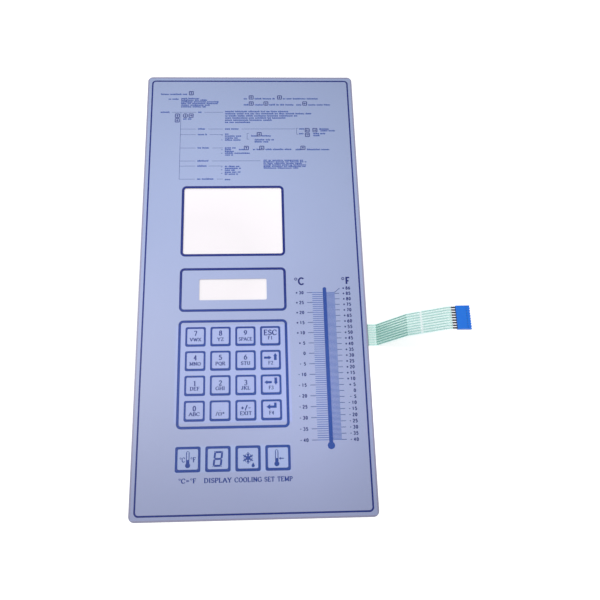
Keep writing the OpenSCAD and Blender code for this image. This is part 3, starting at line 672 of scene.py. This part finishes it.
blue_ink = printed_ink("blue_ink", linear(32, 77, 161), deep=linear(0, 48, 128), where=upper_half)
tube_ink = printed_ink("tube_blue_ink", linear(38, 86, 171))
fine_ink = printed_ink("fine_blue_ink", linear(8, 90, 184), deep=linear(12, 56, 138), where=outer_marks)
legend_ink = printed_ink("legend_blue_ink", linear(22, 58, 136))
dark_ink = printed_ink("dark_blue_ink", linear(20, 56, 136))
number_ink = printed_ink("number_blue_ink", linear(6, 45, 120))
label_ink = printed_ink("label_blue_ink", linear(14, 65, 150))
words_ink = printed_ink("words_blue_ink", linear(4, 76, 170))
circuit_film = circuit_film_material()
silver = silver_material()
carbon = carbon_material()
adhesive = adhesive_material()

NODE_MATERIALS = {
    "overlay_film": overlay_material(),
    "border_print": dark_ink,
    "frame_print": blue_ink,
    "key_outline_print": blue_ink,
    "key_symbol_print": blue_ink,
    "scale_tube_print": tube_ink,
    "scale_mark_print": fine_ink,
    "chart_print": legend_ink,
    "background_ink": background_material(),
    "overlay_adhesive": adhesive,
    "upper_circuit_film": circuit_film,
    "row_traces": silver,
    "upper_contact_pads": carbon,
    "spacer": spacer_material(),
    "bridge_pads": silver,
    "lower_contact_pads": carbon,
    "column_traces": silver,
    "lower_circuit_film": circuit_film,
    "tail_dielectric": dielectric_material(),
    # A green sheet of painted shade on the tail's steep stretch
    "tail_second_cover": second_cover_material(),
    "contact_fingers": carbon,
    "rear_adhesive": adhesive,
    "release_liner": liner_material(),
    "connector_housing": housing_material(),
    "crimp_contacts": tin_material(),
}
for name, mat in NODE_MATERIALS.items():
    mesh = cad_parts[name].data
    mesh.materials.clear()
    mesh.materials.append(mat)

# Legends of the keypad: the main one and the one below it, or None where a sign is printed
KEY_LEGENDS = [
    [("7", "VWX"), ("8", "YZ"), ("9", "SPACE"), ("ESC", "F1")],
    [("4", "MNO"), ("5", "PQR"), ("6", "STU"), (None, "F2")],
    [("1", "DEF"), ("2", "GHI"), ("3", "JKL"), (None, "F3")],
    [("0", "ABC"), (".", "/()*"), ("+/-", "EXIT"), (None, "F4")],
]
# Heights above the key's middle are by row
MAIN_UP_MM = (3.6, 3.4, 2.4, 2.5)
MAIN_CAP_MM = 4.8
MAIN_WIDTH_MM = {"ESC": 12.8, "+/-": 10.0}
ESCAPE_CAP_MM = 5.3
SUB_UP_MM = -2.9
SUB_CAP_MM = 3.3
SUB_WIDTH_MM = {"VWX": 11.2, "YZ": 6.4, "SPACE": 13.4, "MNO": 10.9, "PQR": 9.6, "STU": 9.2, "DEF": 9.2,
                "GHI": 8.9, "JKL": 8.8, "ABC": 10.4, "/()*": 8.4, "EXIT": 11.2}
FUNCTION_UP_MM = (-2.0, -2.9, -3.0, -2.8)
FUNCTION_WIDTH_MM = 4.6

legend_shapes = []
for row, legends in enumerate(KEY_LEGENDS):
    for column, (main, below) in enumerate(legends):
        x, y = key_middle(column, row)
        if main:
            cap, pen = (ESCAPE_CAP_MM, SERIF) if main == "ESC" else (MAIN_CAP_MM, BOLD_SERIF)
            main_width = MAIN_WIDTH_MM.get(main)
            legend_shapes.append(write(main, x, y + MAIN_UP_MM[row], cap, pen, width=main_width))
        up = FUNCTION_UP_MM[row] if column == 3 else SUB_UP_MM
        width = SUB_WIDTH_MM.get(below, FUNCTION_WIDTH_MM)
        legend_shapes.append(write(below, x, y + up, SUB_CAP_MM, SERIF, width=width))
printed_piece("key_legends", legend_shapes, legend_ink)

# Labels under the lower keys with their widths, and the letters beside the tube on the first key
LOW_LABELS = [
    (["deg", "C", "=", "deg", "F"], 16.4), ("DISPLAY", 25.6), ("COOLING", 25.4), ("SET TEMP", 26.4)
]
LABEL_DROP_MM = 19.8
LABEL_CAP_MM = 4.1
UNIT_SIDE_MM = 5.1
UNIT_DROP_MM = 0.3
UNIT_CAP_MM = 4.2
UNIT_WIDTH_MM = 4.9

label_shapes = []
for column, (words, width) in enumerate(LOW_LABELS):
    x, y = low_key_middle(column)
    label_shapes.append(write(words, x, y - LABEL_DROP_MM, LABEL_CAP_MM, BOLD_SERIF, width=width))
first_x, first_y = low_key_middle(0)
for side, letter in ((-1, "C"), (1, "F")):
    unit_x = first_x + side * UNIT_SIDE_MM
    unit_y = first_y - UNIT_DROP_MM
    label_shapes.append(write(["deg", letter], unit_x, unit_y, UNIT_CAP_MM, SERIF, width=UNIT_WIDTH_MM))
printed_piece("low_key_labels", label_shapes, label_ink)

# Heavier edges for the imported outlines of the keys. They lie against the inner side of each
# outline, are thicker at its foot and cut its corners.
OUTLINE_ROUNDING_MM = 0.4
CORNER_CUT_MM = 0.9
EDGE_MM = 0.2
KEY_FOOT_MM = 0.7
LOW_KEY_FOOT_MM = 0.4


def outline_edges(middle, half, foot):
    """Edges inside a square outline, foot thick at its foot. half is half the outline's inner
    size, and the edges stay out of its rounding."""
    straight = half - OUTLINE_ROUNDING_MM
    clear = half - EDGE_MM
    shapes = []
    for side in (-1, 1):
        shapes.append([(side * x, y) for x, y in corners_of((clear, -straight, half, straight))])
    for way, inner in ((1, clear), (-1, half - foot)):
        shapes.append([(x, way * y) for x, y in corners_of((-straight, inner, straight, half))])
        cut_start = (clear - CORNER_CUT_MM, inner)
        cut_end = (clear, inner - CORNER_CUT_MM)
        corner = (cut_start, cut_end, (half, straight), (straight, half))
        for side in (-1, 1):
            shapes.append([(side * x, way * y) for x, y in corner])
    return [anticlockwise([Vector(middle) + Vector(c) for c in shape]) for shape in shapes]


edge_outlines = []
for column in range(4):
    for row in range(4):
        edge_outlines += outline_edges(key_middle(column, row), KEY_MM / 2 - KEY_LINE_MM, KEY_FOOT_MM)
    low_half = LOW_KEY_MM / 2 - LOW_KEY_LINE_MM
    edge_outlines += outline_edges(low_key_middle(column), low_half, LOW_KEY_FOOT_MM)
printed_piece("outline_edges", [union(edge_outlines)], blue_ink)

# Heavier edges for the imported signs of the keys, against the signs' own lines. Places are
# measured from the middle of the key or of the sign. The digit's are those of its upper half,
# upright. Edges of the crystal's arms and of the arrows have points (along, across).
TUBE_EDGES = [(-1.1, 0.1, -0.8, 6.6), (0.8, 0.1, 1.1, 6.6)]
SECOND_TUBE = Vector((-1.2, 0))
DIGIT_LEAN = 0.11
DIGIT_EDGES = [
    (-2.8, 0.75, 2.8, 0.9), (-2.8, 5.5, 2.8, 5.8), (-2.8, 0.9, -2.4, 5.5), (2.4, 0.9, 2.8, 5.5),
    (-4.3, 6.45, -3.5, 7.3), (3.5, 6.45, 4.3, 7.3),
]
CRYSTAL_MIDDLE = Vector((0, 0.3))
CRYSTAL_ARMS = 6
CRYSTAL_TURN = 30
CRYSTAL_EDGE = ((0.87, 0.5), (2.55, 0.5), (2.55, 0.85), (1.47, 0.85))
LEVEL_ARROW = Vector((-2.9, 2.4))
LEVEL_EDGE = ((-3.7, 0.8), (0.8, 0.8), (0.8, 1.1), (-3.7, 1.1))
UPRIGHT_ARROW = Vector((4.7, 3.4))
UPRIGHT_EDGE = ((-3.6, 1.05), (0.8, 1.05), (0.8, 1.3), (-3.6, 1.3))


def both_sides(middle, along, outline):
    """An outline on each side of an axis through middle."""
    return [turned_outline(outline, middle, along, side) for side in (-1, 1)]


sign_outlines = []
for tube in (Vector(low_key_middle(0)), Vector(low_key_middle(3)) + SECOND_TUBE):
    for rect in TUBE_EDGES:
        sign_outlines.append([tube + Vector(c) for c in corners_of(rect)])
digit = Vector(low_key_middle(1))
for way in (-1, 1):
    for rect in DIGIT_EDGES:
        leaning = [Vector((x + way * y * DIGIT_LEAN, way * y)) for x, y in corners_of(rect)]
        sign_outlines.append(anticlockwise([digit + c for c in leaning]))
crystal = Vector(low_key_middle(2)) + CRYSTAL_MIDDLE
for arm in range(CRYSTAL_ARMS):
    turn = math.radians(CRYSTAL_TURN + 360 / CRYSTAL_ARMS * arm)
    sign_outlines += both_sides(crystal, Vector((math.cos(turn), math.sin(turn))), CRYSTAL_EDGE)
# Two keys of the last column have the same pair of arrows, turned round on the lower one
for row, way in ((1, 1), (2, -1)):
    key = Vector(key_middle(3, row))
    sign_outlines += both_sides(key + LEVEL_ARROW, Vector((way, 0)), LEVEL_EDGE)
    sign_outlines += both_sides(key + UPRIGHT_ARROW, Vector((0, way)), UPRIGHT_EDGE)
printed_piece("sign_edges", [union(sign_outlines)], label_ink)

# Numbers of the temperature scale. Each column of numbers ends at a right side, and the sign of
# a number has its place by how many digits follow it.
NUMBER_CAP_MM = 3.0
NUMBER_STEP = 5
CELSIUS_RIGHT_MM = 52.4
FAHRENHEIT_RIGHT_MM = 101.0
SIGN_BACK_MM = {1: 5.2, 2: 7.0}
# The topmost number stands clear of the next one
TOP_NUMBER_UP_MM = 4.6


def scale_number(value, y, right_x):
    """Shapes of a number and its sign."""
    digits = str(abs(value))
    shapes = [write(digits, right_x, y, NUMBER_CAP_MM, SANS, align=1)]
    if value:
        sign, pen = ("+", SIGN_SANS) if value > 0 else ("-", SANS)
        shapes.append(write(sign, right_x - SIGN_BACK_MM[len(digits)], y, NUMBER_CAP_MM, pen))
    return shapes


def celsius_y(celsius):
    """Height of a temperature on the scale."""
    return HIGH_C_Y_MM - (HIGH_C - celsius) * DEGREE_MM


number_shapes = []
for value in range(HIGH_C, LOW_END - 1, -NUMBER_STEP):
    number_shapes += scale_number(value, celsius_y(value), CELSIUS_RIGHT_MM)
for value in [HIGH_F] + list(range(HIGH_F - 1, LOW_END - 1, -NUMBER_STEP)):
    y = celsius_y((value - 32) * 5 / 9)
    number_shapes += scale_number(value, y + TOP_NUMBER_UP_MM if value == HIGH_F else y, FAHRENHEIT_RIGHT_MM)
printed_piece("scale_numbers", number_shapes, number_ink)

# Headings of the scale: letter, middle and width
HEADINGS = [("C", 48.4, 9.8), ("F", 97.0, 8.8)]
HEADING_Y_MM = -7.8
HEADING_CAP_MM = 7.2
heading_shapes = [
    write(["deg", letter], x, HEADING_Y_MM, HEADING_CAP_MM, BOLD_SANS, width=width)
    for letter, x, width in HEADINGS
]
printed_piece("scale_headings", heading_shapes, number_ink)

# Words of the chart: rows of marks that stand for text too small to read. A line is (left,
# right, y). A block is (left, y of its first line, step to the next, right ends). Letters are
# CHART_CAP_MM high, or less where lines are close.
CHART_CAP_MM = 2.6
CAP_OF_STEP = 1.1
CHART_LINES = [
    (-101.5, -70.8, 220.4), (-92.6, -81.3, 214.0),
    (-7.9, -3.1, 214.5), (4.5, 28.4, 214.5), (36.8, 76.0, 214.5),
    (-7.9, -3.0, 206.4), (4.7, 13.9, 206.4), (21.0, 49.4, 206.4), (51.8, 57.4, 206.4), (65.5, 89.7, 206.4),
    (-101.0, -89.7, 196.7), (-59.0, -54.6, 196.7),
    (-75.7, -65.4, 187.9),
    (-59.0, -49.8, 174.9), (-59.0, -48.2, 167.7), (-59.0, -45.0, 150.7), (-59.0, -45.3, 134.4),
    (-59.0, -49.0, 128.1), (-59.0, -40.0, 112.0),
    (-28.9, -14.4, 174.9), (-28.9, -20.8, 111.3),
    (54.0, 59.8, 174.9), (76.6, 89.0, 174.6), (78.0, 93.6, 172.4),
    (54.0, 59.4, 168.7), (69.6, 82.4, 168.7), (69.8, 76.0, 166.2),
    (0.2, 8.0, 165.9), (12.0, 22.0, 165.9), (4.0, 26.0, 160.9), (4.0, 20.0, 158.3),
    (-13.5, -7.0, 148.6), (2.0, 9.0, 148.6), (16.0, 45.3, 148.6),
    (49.4, 55.0, 148.3), (62.0, 87.3, 148.3),
]
CHART_BLOCKS = [
    (-78.4, 214.8, -2.2, (-56.0, -48.0, -34.5, -36.0, -44.0, -50.0)),
    (-28.9, 197.5, -2.8, (43.7, 69.5, 51.9, 38.9, 25.2, -0.6)),
    (-28.9, 168.3, -2.55, (-25.0, -10.0, -15.0, -11.0)),
    (-28.9, 150.7, -2.25, (-17.6, -20.5, -18.0, -2.3, -19.0)),
    (13.6, 134.9, -1.95, (58.0, 60.7, 56.0, 60.0, 59.5, 52.0)),
    (-28.9, 127.5, -2.4, (-12.0, -11.0, -17.0, -11.4, -14.4)),
]
BULLET_X_MM = -33.0
BULLET_Y_MM = (167.0, 160.9, 148.4, 144.0, 126.9, 123.4, 119.0)
BULLET_LONG_MM = 1.4
BULLET_HALF_MM = 0.3

# Marks: width of their stems and bars, how far a letter's second stem is from its first, or 0
# for none, how tall the first stem is and where the bar is, as parts of the letter's height, the
# gaps between letters and words, the least room for a letter, and the height of a letter and of
# its middle, as parts of the capital's
STEM_MM = 0.7
BAR_MM = 0.5
SECOND_STEM_MM = (0.0, 0.85, 0.95, 1.1)
FIRST_STEM_TALL = (1.0, 1.0, 1.0, 1.35)
BAR_PLACES = (0.0, 0.5, 1.0)
LETTER_GAP_MM = 0.34
WORD_GAP_MM = 1.1
LEAST_MARK_MM = 0.9
SMALL_LETTER = 0.62
SMALL_MIDDLE = 0.31

random.seed(11)


def mark_letter(x, y, cap):
    """Rectangles of one small nonsense letter, whose left foot is at x, y, and its width."""
    width = random.choice(SECOND_STEM_MM)
    body = cap * SMALL_LETTER
    tall = random.choice(FIRST_STEM_TALL) * body
    rects = [(x, y, x + STEM_MM, y + tall)]
    if width:
        rects.append((x + width, y, x + width + STEM_MM, y + body))
        bar_y = y + random.choice(BAR_PLACES) * (body - BAR_MM)
        rects.append((x + STEM_MM, bar_y, x + width, bar_y + BAR_MM))
    return rects, width + STEM_MM


def mark_line(left, right, y, cap):
    """Rectangles of a line of nonsense words."""
    rects = []
    x = left
    count = random.randint(2, 8)
    foot = y - cap * SMALL_MIDDLE
    while x < right - LEAST_MARK_MM:
        letter, width = mark_letter(x, foot, cap)
        rects += letter
        x += width + LETTER_GAP_MM
        count -= 1
        if count == 0:
            x += WORD_GAP_MM
            count = random.randint(2, 9)
    return rects


chart_rects = []
for left, right, y in CHART_LINES:
    chart_rects += mark_line(left, right, y, CHART_CAP_MM)
for left, top, step, ends in CHART_BLOCKS:
    cap = min(CHART_CAP_MM, -CAP_OF_STEP * step)
    for k, right in enumerate(ends):
        chart_rects += mark_line(left, right, top + step * k, cap)
for y in BULLET_Y_MM:
    bullet = (BULLET_X_MM, y - BULLET_HALF_MM, BULLET_X_MM + BULLET_LONG_MM, y + BULLET_HALF_MM)
    chart_rects.append(bullet)
printed_piece("chart_words", rectangles(chart_rects), words_ink)

# Signs in the chart's small squares: an arrow up, down, left or right, and the square's inner
# line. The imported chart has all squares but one, whose whole line is drawn here.
CHART_SIGNS = [
    (-67.3, 222.0, "up"), (0.6, 216.4, "up"), (32.9, 216.4, "down"), (0.6, 208.3, "up"),
    (17.3, 208.3, "down"), (61.5, 208.3, "left"), (-82.3, 192.3, "up"), (-82.3, 186.2, "down"),
    (-67.0, 192.3, "right"), (63.1, 173.3, "left"), (63.1, 167.2, "right"), (71.8, 173.3, "right"),
    (9.2, 168.1, "down"), (-5.3, 150.6, "up"), (11.9, 150.6, "down"), (57.6, 150.6, "up"),
]
LONE_SIGN = (-73.4, 192.3, "down")
TURNS = {"up": (0, 1), "down": (0, -1), "left": (-1, 0), "right": (1, 0)}
# Half sizes of a square: the inner side of its line, the outer side of the line's inner part,
# and the outer side of a whole line
SQUARE_INNER_MM = 1.8
SQUARE_EDGE_MM = 2.2
SQUARE_OUTER_MM = 2.7
# The four sides of a square line reach into each other by this
SIDE_OVERLAP_MM = 0.05
ARROW_STEM = ((-1.5, -0.4), (0.3, -0.4), (0.3, 0.4), (-1.5, 0.4))
ARROW_HEAD = ((0.2, -1.3), (1.65, 0), (0.2, 1.3))


def chart_sign(x, y, kind, outer):
    """Shape of an arrow in a square line, which reaches out to the half size outer."""
    inner = SQUARE_INNER_MM
    end = inner + SIDE_OVERLAP_MM
    sides = ((-end, inner, end, outer), (-end, -outer, end, -inner),
             (-outer, -end, -inner, end), (inner, -end, outer, end))
    middle = Vector((x, y))
    along = Vector(TURNS[kind])
    outlines = [turned_outline(outline, middle, along) for outline in (ARROW_STEM, ARROW_HEAD)]
    for side in sides:
        outlines.append([Vector((x + a, y + b)) for a, b in corners_of(side)])
    return union(outlines)


sign_shapes = [chart_sign(*sign, SQUARE_EDGE_MM) for sign in CHART_SIGNS]
sign_shapes.append(chart_sign(*LONE_SIGN, SQUARE_OUTER_MM))
printed_piece("chart_signs", sign_shapes, dark_ink)

FLOOR_HALF = 3.0
FLOOR_Z = -0.0002
# Middle of the floor's best lit part, the distances from it between which the floor's own white
# grows, and that white's least and greatest strength
LIT_MIDDLE = (-0.05, 0.015, 0)
WHITE_GROWS = (0.05, 0.27)
OWN_WHITE = (0.25, 0.68)


def direct_rays(mat):
    """1 for rays from the camera, also by way of gloss or glass, and 0 for all others."""
    rays = node(mat, "LightPath")
    mirrored = math_node(mat, "MAXIMUM", rays.outputs["Is Glossy Ray"], rays.outputs["Is Transmission Ray"])
    return math_node(mat, "MAXIMUM", rays.outputs["Is Camera Ray"], mirrored)


def floor_material():
    """Pale floor, with enough of its own white for the camera that the ground comes out white.
    It adds the more, the further it is from its best lit part."""
    mat = bpy.data.materials.new("floor")
    mat.use_nodes = True
    mat.node_tree.nodes.clear()
    off_middle = node(mat, "VectorMath", operation="DISTANCE")
    join(mat, place(mat), off_middle.inputs[0])
    off_middle.inputs[1].default_value = LIT_MIDDLE
    own_white = span(mat, off_middle.outputs["Value"], *WHITE_GROWS, *OWN_WHITE, kind="LINEAR")
    glow = node(mat, "Emission")
    join(mat, math_node(mat, "MULTIPLY", direct_rays(mat), own_white), glow.inputs["Strength"])
    paper = node(mat, "BsdfDiffuse")
    paper.inputs["Color"].default_value = (0.8, 0.8, 0.8, 1)
    both = node(mat, "AddShader")
    join(mat, glow.outputs["Emission"], both.inputs[0])
    join(mat, paper.outputs["BSDF"], both.inputs[1])
    join(mat, both.outputs["Shader"], node(mat, "OutputMaterial").inputs["Surface"])
    return mat


floor_mesh = bpy.data.meshes.new("floor")
floor_corners = corners_of((-FLOOR_HALF, -FLOOR_HALF, FLOOR_HALF, FLOOR_HALF))
floor_mesh.from_pydata([(x, y, 0) for x, y in floor_corners], [], [(0, 1, 2, 3)])
floor_mesh.materials.append(floor_material())
floor = bpy.data.objects.new("floor", floor_mesh)
floor.location.z = FLOOR_Z
bpy.context.scene.collection.objects.link(floor)

# World: soft fill light, and plain white where the camera or a mirror looks past the floor
FILL = 0.44
world = bpy.data.worlds.new("studio")
bpy.context.scene.world = world
world.use_nodes = True
world.node_tree.nodes.clear()
sky = node(world, "Background")
sky.inputs["Color"].default_value = (1, 1, 1, 1)
added_white = math_node(world, "MULTIPLY", direct_rays(world), 1 - FILL)
join(world, math_node(world, "ADD", added_white, FILL), sky.inputs["Strength"])
join(world, sky.outputs["Background"], node(world, "OutputWorld").inputs["Surface"])


def lamp(name, location, target, size, spread, power):
    """Soft square area lamp that faces a point. Its light stays within spread degrees."""
    data = bpy.data.lights.new(name, "AREA")
    data.size = size
    data.spread = math.radians(spread)
    data.energy = power
    light = bpy.data.objects.new(name, data)
    light.location = location
    light.rotation_euler = (Vector(target) - Vector(location)).to_track_quat("-Z", "Y").to_euler()
    bpy.context.scene.collection.objects.link(light)


lamp("key_lamp", (-0.4, 0.15, 1.4), target=(-0.05, 0.03, 0), size=0.3, spread=35, power=0.5)
lamp("low_lamp", (0.1, -0.5, 1.2), target=(0.05, -0.142, 0), size=0.1, spread=9, power=0.0095)

# Camera at the photograph's place
camera_data = bpy.data.cameras.new("camera")
camera_data.lens = 42.66
camera_data.sensor_width = 36
camera_data.shift_x = 0.0192
camera_data.shift_y = -0.0022
camera_data.clip_start = 0.01
camera = bpy.data.objects.new("camera", camera_data)
camera.location = (0.00441, -0.26701, 0.69114)
camera.rotation_euler = [math.radians(a) for a in (19.2325, -2.1818, -1.4778)]
bpy.context.scene.collection.objects.link(camera)
bpy.context.scene.camera = camera

bpy.context.scene.view_settings.view_transform = "Standard"
